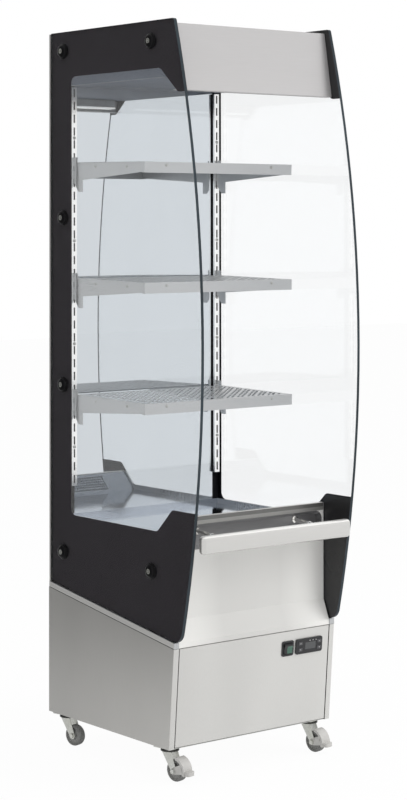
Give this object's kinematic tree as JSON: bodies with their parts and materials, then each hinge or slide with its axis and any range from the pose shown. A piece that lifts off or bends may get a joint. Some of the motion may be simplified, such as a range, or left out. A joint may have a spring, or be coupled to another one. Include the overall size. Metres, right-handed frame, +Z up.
{
  "type": "open-front display warmer",
  "caption": "Open-front heated display cabinet with bowed glass sides, lift-off shelves, lit canopy, push bar and base on castors.",
  "frame": {"origin": "on the floor under the middle of the cabinet", "axes": "+X to the cabinet's right seen from the front, -Y out of the open front, +Z up"},
  "size_m": [0.495, 0.6, 1.735],
  "materials": {
    "base_sheet": "brushed, upright grain",
    "panel_sheet": "brushed, upright grain",
    "inner_steel": "satin",
    "mirror_sheet": "polished",
    "side_glass": "clear toughened",
    "black_film": "gloss",
    "black_plastic": "satin",
    "zinc": "zinc plated",
    "handle_coat": "satin",
    "opal": "opal",
    "green_key": "translucent",
    "display_lens": "smoked",
    "grey_key": "matt",
    "heater_steel": "oxidised",
    "castor_tread": "matt",
    "pedal_plastic": "matt",
    "gland_plastic": "matt"
  },
  "bodies": {
    "cabinet": {"base_floor": "base_sheet", "base_side_left": "base_sheet", "base_side_right": "base_sheet", "back_cover": "panel_sheet", "inlet_gland": "gland_plastic", "service_panel": "panel_sheet", "side_frame_left": "base_sheet", "side_frame_right": "base_sheet", "duct_partition": "inner_steel", "front_panel": "panel_sheet", "deck": "inner_steel", "air_grille": "inner_steel", "mirror_wall": "mirror_sheet", "ceiling": "inner_steel", "canopy_top": "panel_sheet", "canopy_fascia": "panel_sheet", "lamp_housing": "panel_sheet", "lamp_diffuser": "opal", "glass_left": "side_glass", "glass_right": "side_glass", "glass_borders": "black_film", "glass_caps": "black_plastic", "glass_screws": "zinc", "rail_left": "inner_steel", "rail_right": "inner_steel", "rail_screws": "zinc", "handle_bar": "handle_coat", "handle_posts": "handle_coat", "rocker_frame": "black_plastic", "controller": "black_plastic", "controller_window": "display_lens", "heater": "heater_steel", "fan_frame": "black_plastic", "castor_plates": "zinc"},
    "shelf_bottom": {"shelf_bottom": "panel_sheet", "brackets_bottom": "panel_sheet"},
    "shelf_middle": {"shelf_middle": "panel_sheet", "brackets_middle": "panel_sheet"},
    "shelf_top": {"shelf_top": "panel_sheet", "brackets_top": "panel_sheet"},
    "rocker": {"rocker": "green_key"},
    "key_1": {"key_1": "grey_key"},
    "key_2": {"key_2": "grey_key"},
    "key_3": {"key_3": "grey_key"},
    "key_4": {"key_4": "grey_key"},
    "fan_blade": {"fan_blade": "black_plastic"},
    "fork_front_left": {"fork_front_left": "zinc", "axle_front_left": "zinc"},
    "wheel_front_left": {"wheel_front_left": "castor_tread"},
    "pedal_front_left": {"pedal_front_left": "pedal_plastic"},
    "fork_front_right": {"fork_front_right": "zinc", "axle_front_right": "zinc"},
    "wheel_front_right": {"wheel_front_right": "castor_tread"},
    "pedal_front_right": {"pedal_front_right": "pedal_plastic"},
    "fork_rear_left": {"fork_rear_left": "zinc", "axle_rear_left": "zinc"},
    "wheel_rear_left": {"wheel_rear_left": "castor_tread"},
    "fork_rear_right": {"fork_rear_right": "zinc", "axle_rear_right": "zinc"},
    "wheel_rear_right": {"wheel_rear_right": "castor_tread"}
  },
  "joints": [
    {"name": "shelf_bottom_lift", "type": "slide", "parent": "cabinet", "child": "shelf_bottom", "axis": [0, 0, 1], "range_m": [0, 0.012]},
    {"name": "shelf_middle_lift", "type": "slide", "parent": "cabinet", "child": "shelf_middle", "axis": [0, 0, 1], "range_m": [0, 0.012]},
    {"name": "shelf_top_lift", "type": "slide", "parent": "cabinet", "child": "shelf_top", "axis": [0, 0, 1], "range_m": [0, 0.012]},
    {"name": "rocker_tilt", "type": "hinge", "parent": "cabinet", "child": "rocker", "pos_m": [0.097, -0.19813, 0.2673], "axis": [1, 0, 0], "range_deg": [-16, 0]},
    {"name": "key_1_press", "type": "slide", "parent": "cabinet", "child": "key_1", "axis": [0, 0.9966, 0.0823], "range_m": [0, 0.0008], "stiffness_N_per_m": 400, "springref_m": -0.0005},
    {"name": "key_2_press", "type": "slide", "parent": "cabinet", "child": "key_2", "axis": [0, 0.9966, 0.0823], "range_m": [0, 0.0008], "stiffness_N_per_m": 400, "springref_m": -0.0005},
    {"name": "key_3_press", "type": "slide", "parent": "cabinet", "child": "key_3", "axis": [0, 0.9966, 0.0823], "range_m": [0, 0.0008], "stiffness_N_per_m": 400, "springref_m": -0.0005},
    {"name": "key_4_press", "type": "slide", "parent": "cabinet", "child": "key_4", "axis": [0, 0.9966, 0.0823], "range_m": [0, 0.0008], "stiffness_N_per_m": 400, "springref_m": -0.0005},
    {"name": "fan_spin", "type": "hinge", "parent": "cabinet", "child": "fan_blade", "pos_m": [0, 0.2165, 0.467], "axis": [0, 1, 0], "continuous": true},
    {"name": "swivel_front_left", "type": "hinge", "parent": "cabinet", "child": "fork_front_left", "pos_m": [-0.21, -0.146, 0.069], "axis": [0, 0, 1], "continuous": true},
    {"name": "roll_front_left", "type": "hinge", "parent": "fork_front_left", "child": "wheel_front_left", "pos_m": [-0.20561, -0.16756, 0.025], "axis": [0.9799, 0.1994, 0], "continuous": true},
    {"name": "brake_front_left", "type": "hinge", "parent": "fork_front_left", "child": "pedal_front_left", "pos_m": [-0.20561, -0.16756, 0.025], "axis": [0.9799, 0.1994, 0], "range_deg": [0, 20]},
    {"name": "swivel_front_right", "type": "hinge", "parent": "cabinet", "child": "fork_front_right", "pos_m": [0.21, -0.146, 0.069], "axis": [0, 0, 1], "continuous": true},
    {"name": "roll_front_right", "type": "hinge", "parent": "fork_front_right", "child": "wheel_front_right", "pos_m": [0.21344, -0.16773, 0.025], "axis": [0.9877, 0.1564, 0], "continuous": true},
    {"name": "brake_front_right", "type": "hinge", "parent": "fork_front_right", "child": "pedal_front_right", "pos_m": [0.21344, -0.16773, 0.025], "axis": [0.9877, 0.1564, 0], "range_deg": [0, 20]},
    {"name": "swivel_rear_left", "type": "hinge", "parent": "cabinet", "child": "fork_rear_left", "pos_m": [-0.21, 0.262, 0.069], "axis": [0, 0, 1], "continuous": true},
    {"name": "roll_rear_left", "type": "hinge", "parent": "fork_rear_left", "child": "wheel_rear_left", "pos_m": [-0.20468, 0.24065, 0.025], "axis": [0.9703, 0.2419, 0], "continuous": true},
    {"name": "swivel_rear_right", "type": "hinge", "parent": "cabinet", "child": "fork_rear_right", "pos_m": [0.21, 0.262, 0.069], "axis": [0, 0, 1], "continuous": true},
    {"name": "roll_rear_right", "type": "hinge", "parent": "fork_rear_right", "child": "wheel_rear_right", "pos_m": [0.21457, 0.24048, 0.025], "axis": [0.9781, 0.2079, 0], "continuous": true}
  ]
}
